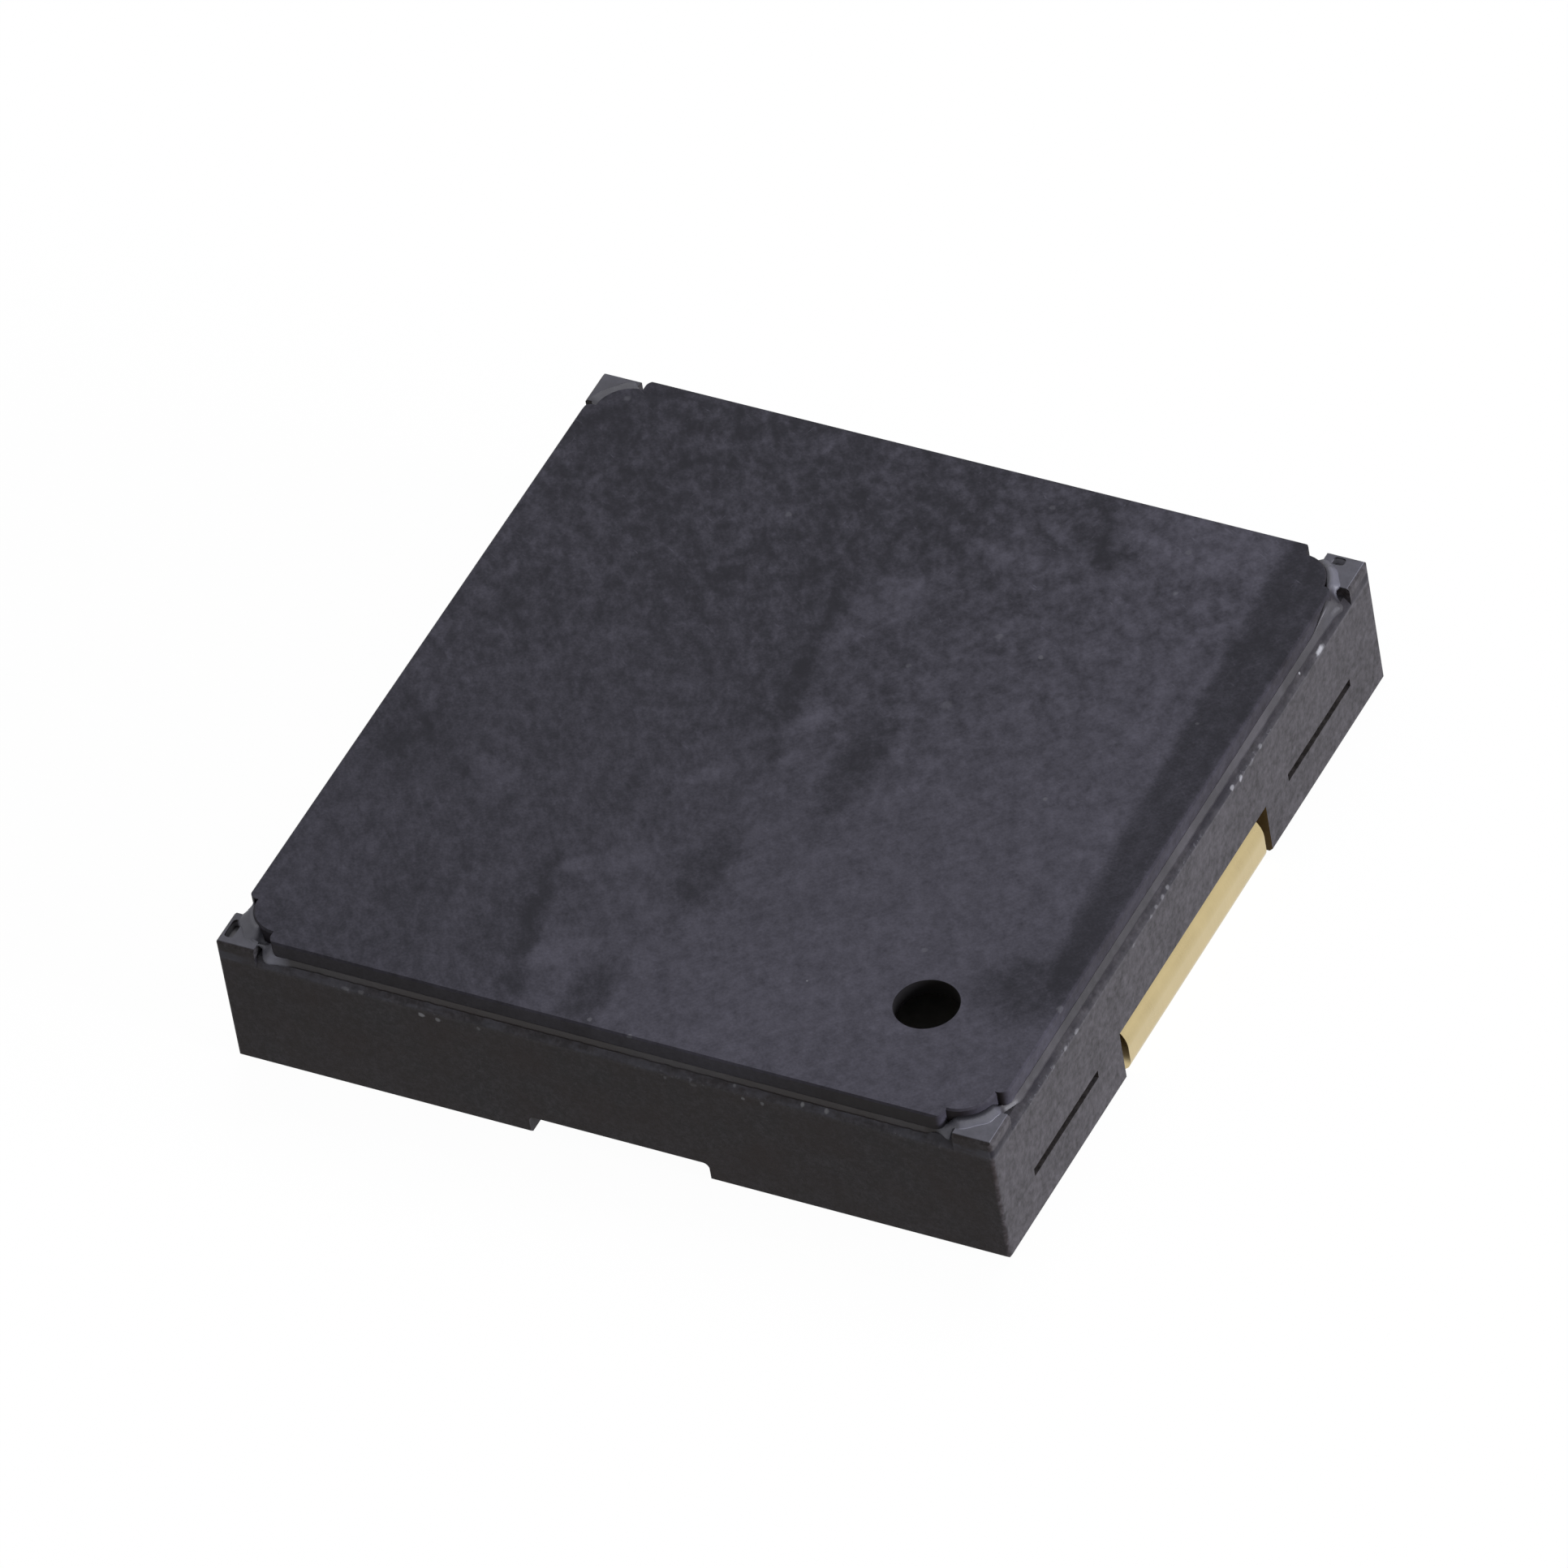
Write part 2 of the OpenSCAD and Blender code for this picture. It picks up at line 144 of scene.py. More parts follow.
# %% A finish, and how a piece gets it
class Finish:
    """A material with one Principled shader. What is the same all over goes on its own sockets."""

    def __init__(self, name, **constants):
        self.material = bpy.data.materials.new(name)
        self.material.use_nodes = True
        self.tree = self.material.node_tree
        self.tree.nodes.clear()
        self.shader = self.tree.nodes.new("ShaderNodeBsdfPrincipled")
        output = self.tree.nodes.new("ShaderNodeOutputMaterial")
        self.tree.links.new(self.shader.outputs[0], output.inputs["Surface"])
        for socket, constant in constants.items():
            self.shader.inputs[socket.replace("_", " ")].default_value = constant
        self.place = self.node("ShaderNodeTexCoord", out="Object")

    def fill(self, socket, value):
        """Links a Value to a socket, or writes a plain number, colour or vector into it."""
        if isinstance(value, Value):
            self.tree.links.new(value.socket, socket)
        else:
            socket.default_value = value

    def node(self, kind, settings=None, inputs=None, out=0):
        """Adds any node: its settings first, then a value or a link for each named or numbered socket."""
        made = self.tree.nodes.new(kind)
        for setting, value in (settings or {}).items():
            setattr(made, setting, value)
        for key, value in (inputs or {}).items():
            self.fill(made.inputs[key], value)
        return Value(self, made.outputs[out])

    def math(self, operation, *terms):
        """One Math node, with its terms in order."""
        return self.node("ShaderNodeMath", {"operation": operation}, dict(enumerate(terms)))

    def set(self, socket, value):
        """Gives the shader's own socket a value."""
        self.fill(self.shader.inputs[socket], value)

    def axis(self, which):
        """The X, Y or Z of the place on the piece, in millimetres."""
        return self.node("ShaderNodeSeparateXYZ", inputs={0: self.place}, out=which) / MM

    def facing(self, which):
        """How far the surface faces along X, Y or Z, from -1 to 1."""
        normal = self.node("ShaderNodeNewGeometry", out="Normal")
        return self.node("ShaderNodeSeparateXYZ", inputs={0: normal}, out=which)

    def noise(self, size, detail=4.0, roughness=0.5, at=None, lacunarity=2.0):
        """Noise from 0 to 1 whose largest blotches are about size millimetres."""
        return self.node("ShaderNodeTexNoise", {"noise_dimensions": "3D"}, {
            "Vector": at or self.place, "Scale": 1 / (size * MM), "Detail": detail,
            "Roughness": roughness, "Lacunarity": lacunarity})

    def turned(self, centre=(0, 0, 0), angle=0.0, scale=(1, 1, 1), at=None):
        """Coordinates centred at a place in mm, turned about Z, and divided by a scale."""
        return self.node("ShaderNodeMapping", {"vector_type": "TEXTURE"}, {
            "Vector": at or self.place, "Location": tuple(c * MM for c in centre),
            "Rotation": (0, 0, math.radians(angle)), "Scale": scale})

    def warped(self, size, amount):
        """Coordinates pushed about by a noise, so that what is drawn on them gets ragged edges."""
        push = self.node("ShaderNodeTexNoise", {"noise_dimensions": "3D"}, {
            "Vector": self.place, "Scale": 1 / (size * MM), "Detail": 3.0}, out="Color")
        centred = self.node("ShaderNodeVectorMath", {"operation": "SUBTRACT"},
                            {0: push, 1: (0.5, 0.5, 0.5)})
        scaled = self.node("ShaderNodeVectorMath", {"operation": "SCALE"},
                           {0: centred, "Scale": 2 * amount * MM})
        return self.node("ShaderNodeVectorMath", {"operation": "ADD"}, {0: self.place, 1: scaled})

    def colour(self, amount, dark, light):
        """A mix of two colours by an amount from 0 to 1."""
        return self.node("ShaderNodeMix", {"data_type": "RGBA"}, {
            0: amount, 6: (*dark, 1.0), 7: (*light, 1.0)}, out=2)

    def over(self, under, amount, colour):
        """A colour laid over what is there, by an amount from 0 to 1."""
        return self.node("ShaderNodeMix", {"data_type": "RGBA"}, {
            0: amount, 6: under, 7: (*colour, 1.0)}, out=2)

    def attribute(self, name):
        """A number that the piece's own mesh carries at its points."""
        return self.node("ShaderNodeAttribute", {"attribute_name": name}, out="Fac")

    def oval(self, place, half_sizes, angle=0.0, at=None, soft=0.35):
        """1 inside an oval at a place in mm, and 0 outside it. Soft is the share of it that fades."""
        inside = self.turned(place, angle, tuple(size * MM for size in half_sizes), at)
        reach = self.node("ShaderNodeVectorMath", {"operation": "LENGTH"}, {0: inside}, out="Value")
        return reach.ramp(1 - soft, 1 + soft, 1.0, 0.0)

    def bump(self, height, depth):
        """Roughens the surface: height goes from 0 to 1 over a depth in millimetres."""
        self.set("Normal", self.node("ShaderNodeBump", inputs={
            "Strength": 1.0, "Distance": depth * MM, "Height": height}))


def wear(finish, *names):
    """Puts a finish on ready-made nodes, in place of the plain one they came with."""
    for name in names:
        slots = nodes[name].data.materials
        slots.clear()
        slots.append(finish.material)


# %% [markdown]
# ## The lid: liquid crystal polymer with flow marks
# Such lids are moulded in a glass-filled black plastic that sets as it flows. Its fibres lie along
# the flow, so the face is clouded: fine blotches where fibres stand on end, ragged dark streaks where two
# flow fronts met with brushed pale strokes beside them, and a smoother, paler part near the sound hole.
# Clouds are noise of four sizes. Each streak is one soft oval, drawn on coordinates that a noise has
# pushed about, so that its edge is ragged. The walls of the lid and of its hole carry painted shade: they
# are painted darker than the face.

# %% Where the marks are on the lid
# x, y, half length, half width in mm, turn from +Y in degrees, strength (below 0 darkens)
DARK_MARKS = [
    (3.92, -2.48, 0.42, 0.52, 20, -0.42), (-0.52, 2.10, 0.42, 0.07, 14, -0.24),
    (-0.43, 1.28, 0.50, 0.08, 6, -0.24), (-0.28, 0.50, 0.55, 0.15, 12, -0.19),
    (-0.12, -0.15, 0.28, 0.07, 20, -0.14), (-0.50, 0.55, 0.85, 0.40, 10, -0.09),
    (0.80, -0.18, 0.80, 0.22, 0, -0.34), (0.62, 0.28, 0.34, 0.14, 20, -0.12),
    (1.74, 3.98, 0.50, 0.08, 20, -0.24), (1.90, 3.62, 0.28, 0.22, 20, -0.24),
    (1.50, 4.02, 0.40, 0.15, 24, -0.18), (0.05, 3.35, 0.85, 0.50, -10, -0.10),
    (-1.52, -2.75, 0.45, 0.08, 10, -0.23), (-1.38, -3.40, 0.50, 0.13, 10, -0.19),
    (-1.20, -4.02, 0.36, 0.13, 16, -0.22), (-1.55, -3.70, 0.75, 0.34, 10, -0.12),
    (0.00, -2.02, 0.60, 0.21, 0, -0.32), (-0.36, -3.98, 0.48, 0.22, 0, -0.34),
    (-2.50, 0.15, 0.42, 0.05, 14, -0.18), (-3.92, -0.90, 0.30, 0.05, 52, -0.20),
    (-3.90, -1.25, 0.58, 0.40, 66, -0.19), (-3.60, 0.95, 0.55, 0.40, 30, -0.10),
    (-2.95, 2.70, 0.50, 0.30, 50, -0.13), (-2.00, 1.95, 0.70, 0.34, -40, -0.12),
    (-1.00, 3.05, 0.70, 0.40, 10, -0.10), (-2.90, -3.30, 0.60, 0.30, 20, -0.09),
]
PALE_MARKS = [
    (0.10, 2.28, 0.46, 0.29, -34, 0.36), (-0.22, 1.55, 0.20, 0.14, -40, 0.22),
    (0.04, 0.32, 0.34, 0.13, -38, 0.34), (0.15, -0.18, 0.24, 0.10, -40, 0.22),
    (-0.62, -0.72, 0.24, 0.13, -50, 0.24), (-1.02, -3.62, 0.36, 0.16, -50, 0.32),
    (-1.32, -2.35, 0.20, 0.10, -45, 0.24), (-0.92, -2.12, 0.36, 0.18, -40, 0.20),
    (0.95, 3.25, 0.44, 0.12, 84, 0.24), (1.55, 3.28, 0.20, 0.10, -20, 0.24),
    (2.85, 4.02, 0.85, 0.42, 88, 0.22), (-2.70, -1.42, 0.34, 0.16, 70, 0.22),
    (3.38, 2.10, 0.80, 0.16, 0, 0.08), (-1.90, 2.15, 0.30, 0.05, -52, 0.24),
]
# x, y, radius in mm, strength: pale specks of filler on the face
FACE_SPECKS = [
    (1.38, 2.12, 0.040, 0.14), (1.93, 1.98, 0.026, 0.24),
    (2.90, 0.10, 0.026, 0.24), (0.66, 1.42, 0.026, 0.15),
    (2.86, 3.30, 0.026, 0.20), (2.72, 3.90, 0.036, 0.14),
    (2.68, -2.30, 0.034, 0.14), (1.06, 4.05, 0.030, 0.14),
    (-1.56, 3.06, 0.032, 0.16), (-4.00, 4.10, 0.036, 0.14),
    (1.72, -3.10, 0.012, 0.60), (3.92, 1.62, 0.022, 0.18),
    (1.30, 1.02, 0.060, 0.09), (0.33, -4.42, 0.030, 0.30),
    (-0.17, -4.34, 0.026, 0.26), (4.40, -2.60, 0.045, 0.22),
]


def marks(finish, places, ragged):
    """The sum of soft ovals on the lid's face, each 1 at its middle times its strength."""
    total = 0.0
    for x, y, half_length, half_width, angle, strength in places:
        total = strength * finish.oval((x, y, lid_high[2]), (half_width, half_length, 1.0),
                                       angle, ragged, 0.6) + total
    return total


def strokes(finish, angle, width, length, low, high):
    """Short fibres side by side: noise squeezed across one direction, with only its peaks kept."""
    squeezed = finish.turned(angle=angle, scale=(width, length, width), at=finish.warped(0.8, 0.10))
    return finish.noise(1.0, 2.0, 0.6, squeezed).ramp(low, high)


print("lid:", len(DARK_MARKS), "dark and", len(PALE_MARKS), "pale marks,", len(FACE_SPECKS), "specks")

# %% The patterns on the lid
PLASTIC_GLOSS = 0.16       # specular level of the black plastic
lid_finish = Finish("lid_plastic", Specular_IOR_Level=PLASTIC_GLOSS)
across, along = lid_finish.axis(0), lid_finish.axis(1)
# the left is darker than the right, and the back is more mottled than the front
leftward = (along * 0.35 - across * 0.9).ramp(-2.8, 1.8)
backward = along.ramp(-2.0, 4.5)
clouds = lid_finish.noise(1.7, 3.0, 0.55, lid_finish.turned(angle=-20, scale=(1.0, 1.6, 1.0)))
blotches = lid_finish.noise(0.26, 2.0, 0.55, lid_finish.turned(
    angle=34, scale=(0.8, 1.25, 1.0), at=lid_finish.warped(0.5, 0.16)))
speckle = lid_finish.noise(0.100, 1.5, 0.55, lid_finish.turned(angle=34, scale=(0.85, 1.2, 1.0)))
grain = lid_finish.noise(0.030, 1.0, 0.5)
brushed = strokes(lid_finish, -42, 0.050, 0.34, 0.30, 0.75)
hatched = strokes(lid_finish, 38, 0.042, 0.26, 0.35, 0.78)
fibres = (strokes(lid_finish, 62, 0.030, 0.26, 0.66, 0.80)
          + strokes(lid_finish, -10, 0.030, 0.22, 0.68, 0.82))

# %% The lid's tone and colour
LID_DARK = (0.0150, 0.0145, 0.0205)
LID_LIGHT = (0.098, 0.094, 0.124)
BAND_RIGHT = 4.46          # where the dark band ends, mm

right_half = across.ramp(-1.2, 0.6)
far_left = along.ramp(1.5, 4.0) * across.ramp(-3.6, -1.6, 1.0, 0.0)
# a dark band where the flow slowed along the right edge, broad at the back and closing towards the front
wander = across + (clouds - 0.5) * 0.12
band_left = 3.64 + (4.4 - along) * 0.050 + along.ramp(-2.8, -1.8, 0.20, 0.0)
band = ((wander - band_left).ramp(-0.05, 0.13) * (BAND_RIGHT - wander).ramp(0.02, 0.14)
        * along.ramp(-2.6, -2.0))
ribs = lid_finish.noise(0.16, 1.0, 0.5, lid_finish.turned(angle=3, scale=(1.0, 12.0, 1.0)))
mottled = (blotches - 0.5) * (0.60 + backward * 0.66) + (speckle - 0.5) * (0.58 + backward * 0.28)
tone = (0.578 + (1 - backward) * 0.045 - far_left * 0.10 - leftward * 0.335
        + (clouds - 0.5) * 0.22 - band * (0.48 + (ribs - 0.5) * 0.36) + mottled * (1 - band * 0.4)
        + (grain - 0.5) * 0.50 + (brushed - 0.4) * right_half * 0.12
        + (hatched - 0.4) * (1 - right_half) * 0.12 + fibres * (0.13 + backward * 0.42)
        + marks(lid_finish, DARK_MARKS, lid_finish.warped(0.30, 0.10))
        + marks(lid_finish, PALE_MARKS, lid_finish.warped(0.16, 0.10)))
tone = tone.soft_floor(0.02, 0.45)
lid_colour = lid_finish.colour(tone, LID_DARK, LID_LIGHT)
print("lid finish:", len(lid_finish.tree.nodes), "nodes so far")

# %% Specks, walls and the sound hole
HOLE, HOLE_RADIUS = (3.05, -3.0), 0.35     # of the sound hole, mm
uneven = lid_finish.warped(0.05, 0.02)
for x, y, radius, strength in FACE_SPECKS:
    speck = lid_finish.oval((x, y, lid_high[2]), (radius, radius, radius), 0, uneven)
    lid_colour = lid_finish.over(lid_colour, speck * strength, (0.30, 0.30, 0.33))
# painted shade: the walls are painted darker than the face, most of all on the right half of the front
wall = lid_finish.facing(2).ramp(0.55, 0.95, 1.0, 0.0)
rightwards = lid_finish.facing(0)
front_right = across.ramp(1.5, 3.3) * (1 - rightwards.ramp(0.5, 0.9))
right_wall = rightwards.ramp(0.3, 0.8) * (0.12 + along.ramp(-2.4, -1.5, 0.10, 0.0))
painted_wall_shade = wall * (0.74 + front_right * 0.22 - right_wall - (clouds - 0.5) * 0.5)
lid_colour = lid_finish.over(lid_colour, painted_wall_shade, (0.007, 0.005, 0.005))
# painted shade: the sound hole's wall is painted nearly black; it is what lies within the hole's radius,
# taken squared
hole_x, hole_y = across - HOLE[0], along - HOLE[1]
hole_squared = HOLE_RADIUS ** 2
in_hole = (hole_x * hole_x + hole_y * hole_y).ramp(hole_squared * 1.01, hole_squared * 1.04, 1.0, 0.0)
lid_colour = lid_finish.over(lid_colour, in_hole * 0.9, (0.002, 0.0015, 0.001))
lid_finish.set("Base Color", lid_colour)
lid_finish.set("Roughness", 0.66 - tone * 0.12 + in_hole * 0.3)
lid_finish.bump(blotches * 0.3 + speckle * 0.4 + grain * 0.3, 0.002)
wear(lid_finish, "lid")
print("lid finish:", len(lid_finish.tree.nodes), "nodes")

# %% [markdown]
# ## The case: the same plastic, plainer
# The case's walls are moulded against flat steel, so they are even, with a fine sandy grain and faint
# clouds. The resin has crept over the tops of the posts and left them paler. The rim's bevel is stained in
# small blotches, with painted shade on the right side and painted light on the others, and has chips and
# dust along its lower edge, which are single small ovals at set places. The sink marks in two posts are
# painted pale, as painted light in their hollows.
# The pockets' sides are tinted, because the gold beside them throws its light on them.

# %% Where the chips and sinks are on the case
post_z = case_high[2]
BEVEL_DOWN, BEVEL_IN = 0.09, 0.08          # of the rim's bevel, mm
bevel_z = rim_z - BEVEL_DOWN

# place in mm, half sizes in mm, strength: chips and dust on the rim's two near sides
RIM_SPECKS = [
    ((4.50, 3.32, 1.52), (0.03, 0.100, 0.038), 0.55), ((4.49, 1.18, 1.49), (0.02, 0.034, 0.032), 0.30),
    ((4.49, 1.36, 1.46), (0.02, 0.036, 0.032), 0.34), ((4.49, 1.84, 1.47), (0.02, 0.034, 0.028), 0.16),
    ((4.49, 1.62, 1.45), (0.02, 0.050, 0.030), 0.07), ((4.49, -0.36, 1.50), (0.02, 0.030, 0.026), 0.15),
    ((4.49, -0.50, 1.48), (0.02, 0.034, 0.022), 0.15), ((4.49, -0.65, 1.48), (0.02, 0.026, 0.018), 0.11),
    ((4.49, -0.78, 1.47), (0.02, 0.028, 0.018), 0.11), ((4.49, -1.20, 1.45), (0.02, 0.045, 0.020), 0.08),
    ((4.49, -2.54, 1.47), (0.02, 0.045, 0.022), 0.16), ((4.49, -2.80, 1.47), (0.02, 0.034, 0.022), 0.18),
    ((4.49, -3.08, 1.47), (0.02, 0.030, 0.022), 0.10), ((4.46, 2.90, 1.54), (0.03, 0.014, 0.014), 0.40),
    ((-2.12, -4.50, 1.41), (0.036, 0.02, 0.028), 0.55), ((-1.93, -4.50, 1.40), (0.030, 0.02, 0.026), 0.40),
    ((-1.45, -4.50, 1.43), (0.022, 0.02, 0.026), 0.20), ((-3.00, -4.49, 1.49), (0.034, 0.02, 0.022), 0.12),
    ((-2.82, -4.49, 1.50), (0.034, 0.02, 0.024), 0.13), ((0.72, -4.50, 1.43), (0.020, 0.02, 0.022), 0.16),
    ((1.05, -4.50, 1.43), (0.040, 0.02, 0.024), 0.10), ((1.52, -4.47, 1.54), (0.018, 0.03, 0.020), 0.20),
    ((1.62, -4.50, 1.42), (0.022, 0.02, 0.020), 0.32), ((1.84, -4.50, 1.42), (0.024, 0.02, 0.022), 0.28),
    ((2.30, -4.47, 1.54), (0.022, 0.03, 0.036), 0.34), ((2.58, -4.47, 1.53), (0.024, 0.03, 0.030), 0.26),
]

# the two sink marks: middle and half sizes in mm, and how strongly painted light pales them, standing in
# for resin that has partly filled them
SINKS = [((-4.395, -4.27, post_z - 0.06), (0.08, 0.17, 0.058), 0.40),
         ((4.215, 4.395, post_z - 0.06), (0.11, 0.08, 0.058), 0.95)]

print("case:", len(RIM_SPECKS), "chips and", len(SINKS), "sink marks")

# %% The case's tone and colour
CASE_DARK = (0.022, 0.0205, 0.0215)
CASE_LIGHT = (0.086, 0.080, 0.086)

case_finish = Finish("case_plastic", Specular_IOR_Level=PLASTIC_GLOSS)
x, y, z = (case_finish.axis(i) for i in range(3))
clouds = case_finish.noise(0.9, 3.0, 0.6)
blotches = case_finish.noise(0.20, 3.0, 0.6)
grain = case_finish.noise(0.045, 2.0, 0.65)
sand = case_finish.noise(0.09, 2.0, 0.6)
front_side = case_finish.facing(1).ramp(-0.7, -0.2, 1.0, 0.0)
# painted light and shade: the front wall is painted darker towards its top and paler low down, for light
# thrown up from the floor
tone = (0.40 - front_side * z.ramp(0.2, 1.3) * 0.13 + (clouds - 0.5) * 0.36 + (blotches - 0.5) * 0.75
        + (sand - 0.5) * (1.20 + front_side * 0.5) + (grain - 0.5) * (0.60 + front_side * 1.4))
case_colour = case_finish.colour(tone, CASE_DARK, CASE_LIGHT)
# the front wall is a little browner, in clouds
browner = front_side * (0.34 + (clouds - 0.5) * 1.8)
case_colour = case_finish.over(case_colour, browner, (0.024, 0.016, 0.014))
print("case finish:", len(case_finish.tree.nodes), "nodes so far")

# %% Stains, scuffs, and painted shade and light on the rim
rim_band = z.band(bevel_z, rim_z + 0.02, 0.015)
stretched = case_finish.turned(scale=(1.6, 1.6, 0.6))
stained = case_finish.noise(0.15, 3.0, 0.6, stretched).ramp(0.38, 0.62)
right_side = case_finish.facing(0).ramp(0.1, 0.6)
patches = case_finish.noise(0.9, 1.0).ramp(0.40, 0.60)
# painted shade on the bevel of the right side, laid in the same blotches as the stains
right_bevel_shade_and_stains = rim_band * right_side * (0.27 + stained * 0.34 + patches * 0.30)
case_colour = case_finish.over(case_colour, right_bevel_shade_and_stains, (0.010, 0.009, 0.013))
# painted light on the bevel of the other sides, laid in the same blotches as the stains
bevel_light_and_stains = rim_band * (1 - right_side) * (0.13 + stained * 0.38)
case_colour = case_finish.over(case_colour, bevel_light_and_stains, (0.11, 0.11, 0.13))
scuffs = case_finish.noise(0.05, 2.0, 0.7).ramp(0.56, 0.72) * case_finish.noise(0.8, 2.0).ramp(0.42, 0.60)
edge = z.band(bevel_z - 0.035, bevel_z + 0.025, 0.015)
case_colour = case_finish.over(case_colour, edge * (0.06 + scuffs * 0.42), (0.20, 0.20, 0.22))
print("with its rim:", len(case_finish.tree.nodes), "nodes")

# %% The pockets and the posts
# only the pockets' sides face along Y there
beside_lead = (abs(y).band(1.70, 1.81, 0.01) * abs(case_finish.facing(1)).ramp(0.5, 0.8)
               * abs(x).ramp(4.1, 4.2))
case_colour = case_finish.over(case_colour, beside_lead * 0.8, (0.16, 0.10, 0.03))
post_top = z.ramp(post_z - 0.008, post_z - 0.001)
case_colour = case_finish.over(case_colour, post_top * (0.34 + blotches * 0.66), (0.180, 0.180, 0.215))
# painted light: the sink marks are painted pale, standing in for resin run into them, so that their
# hollows do not look black
for place, half_sizes, amount in SINKS:
    sink_painted_light = case_finish.oval(place, half_sizes, 0, None, 0.1)
    case_colour = case_finish.over(case_colour, sink_painted_light * amount, (0.42, 0.42, 0.46))
print("with its pockets and posts:", len(case_finish.tree.nodes), "nodes")

# %% Chips and dust
uneven = case_finish.warped(0.06, 0.015)
for place, half_sizes, strength in RIM_SPECKS:
    speck = case_finish.oval(place, half_sizes, 0, uneven)
    case_colour = case_finish.over(case_colour, speck * strength, (0.62, 0.62, 0.64))
case_finish.set("Base Color", case_colour)
case_finish.set("Roughness", 0.62 + (grain - 0.5) * 0.22)
case_finish.bump(grain * 0.6 + blotches * 0.4, 0.003)
wear(case_finish, "case")
print("case finish:", len(case_finish.tree.nodes), "nodes")

# %% [markdown]
# ## The leads: gold plate over nickel
# Gold plate on stamped strip is satin, not a mirror: the strip was rolled, so faint lines run along it,
# and the plate is a little cloudy. Metallic is 1, and the colour is the metal's own reflectance.

# %% The leads' finish
gold_finish = Finish("gold_plate", Metallic=1.0)
rolled = gold_finish.noise(1.0, 3.0, 0.6, gold_finish.turned(scale=(0.6, 0.012, 0.6)))
cloudy = gold_finish.noise(0.5, 3.0)
# painted shade: the bend, higher up the lead, is painted darker than the flat strip
bend_painted_shade = gold_finish.axis(2).ramp(0.30, 0.60)
gold_finish.set("Base Color", gold_finish.colour(
    cloudy * 0.6 + rolled * 0.4 - bend_painted_shade * 0.8, (0.464, 0.376, 0.200), (0.640, 0.522, 0.286)))
gold_finish.set("Roughness", 0.22 + cloudy * 0.12)
gold_finish.bump(rolled * 0.7 + cloudy * 0.3, 0.0008)
wear(gold_finish, "terminal_left", "terminal_right")
print("lead finish:", len(gold_finish.tree.nodes), "nodes")

# %% [markdown]
# ## The bonding resin
# The lid floats on a thin bed of resin. Round the sides the resin shows as a narrow fillet under the lid's
# edge. At each corner it fills the gap between the lid's lobe and the post, stands a little higher, and
# has run out over the top of the post, where it is thick enough to look pale. A solid model keeps this
# plain, so it is sculpted here: one profile of ten points is carried round the lid's outline, and its
# width and heights change along the way. A slow random wave keeps it from looking machined.

# %% The path round the lid
LOBE_REACH = 0.60          # from the case's side to the centre of a lobe, mm
LOBE_RADIUS = 0.39         # mm
NECK = 0.16                # from the end of a straight side to the line of a lobe's centre, mm
STEP = 0.03                # between points of the path, mm


def lobe_corner(side, top, centre):
    """A corner of the outline: the right side's end, an arc round the lobe, and the top side's start."""
    angle = np.radians(np.linspace(14, 76, 16))
    lobe = centre + LOBE_RADIUS * np.column_stack([np.cos(angle), np.sin(angle)])
    return np.vstack([[[side, centre - NECK]], lobe, [[centre - NECK, top]]])


def outline(half_x, half_y, centre):
    """The lid's outline, anticlockwise, at even steps. Each corner is the first one mirrored."""
    corner = lobe_corner(half_x, half_y, centre)
    turns = [corner, corner[::-1] * [-1, 1], corner * [-1, -1], corner[::-1] * [1, -1]]
    loop = np.vstack(turns)
    closed = np.vstack([loop, loop[:1]])
    gone = np.concatenate([[0], np.cumsum(np.hypot(*np.diff(closed, axis=0).T))])
    along = np.linspace(0, gone[-1], int(gone[-1] / STEP), endpoint=False)
    points = np.column_stack([np.interp(along, gone, closed[:, i]) for i in range(2)])
    # a running mean over five points rounds the corners of the path
    return sum(np.roll(points, shift, axis=0) for shift in range(-2, 3)) / 5


path = outline(lid_high[0], lid_high[1], case_high[0] - LOBE_REACH)
print("resin path:", len(path), "points,", round(len(path) * STEP, 1), "mm round")


# %% How the profile changes along the path
def smooth(value, low, high):
    """0 below low, 1 above high, and 3t^2 - 2t^3 between."""
    t = np.clip((value - low) / (high - low), 0, 1)
    return t * t * (3 - 2 * t)


def wave(count, longest, shortest, seed):
    """A wave round a loop, from -1 to 1: sines that each fit it a whole number of times, summed."""
    chance = np.random.default_rng(seed)
    turns = np.arange(count * STEP / longest, count * STEP / shortest).round()
    phase = chance.uniform(0, 2 * np.pi, len(turns))
    size = chance.uniform(0.3, 1.0, len(turns))
    round_it = np.linspace(0, 2 * np.pi, count, endpoint=False)
    total = (size[:, None] * np.sin(turns[:, None] * round_it + phase[:, None])).sum(axis=0)
    return total / np.abs(total).max()


def hump(value, middle, width):
    """A bell of height 1: e to the power of minus the square of (value - middle) / width."""
    return np.exp(-((value - middle) / width) ** 2)


px, py = path.T
count = len(path)
at_corner = smooth(np.minimum(abs(px), abs(py)), 3.88, 4.02)
# the run-out at the front right, by x 3.90, also raises pale below, which is painted light on resin that
# faces the front
run_out = (hump(px, -3.84, 0.14) * (py < -4.25) + hump(px, 3.90, 0.07) * (py < -4.25)
           + hump(py, 3.66, 0.18) * (px > 4.3) * 0.15)
# where it has climbed the lid's edge: round the left of the front left lobe, and by the back right one
climb = (smooth(-px, 4.03, 4.08) * (py < -3.7) + hump(px, -3.87, 0.05) * (py < -4.2) * 0.8
         + smooth(px, 4.10, 4.16) * smooth(py, 3.30, 3.75))
# how far it has run out over each post: the two at the front, the back right one, and the back left one
spill = np.select([py < 0, px > 0], [0.165, 0.13], 0.21)
spill = at_corner * (spill + 0.025 * wave(count, 1.2, 0.15, 5))
pit = hump(px, -4.04, 0.075) * hump(py, -4.27, 0.10)
rough_edge = wave(count, 2.5, 0.12, 7)
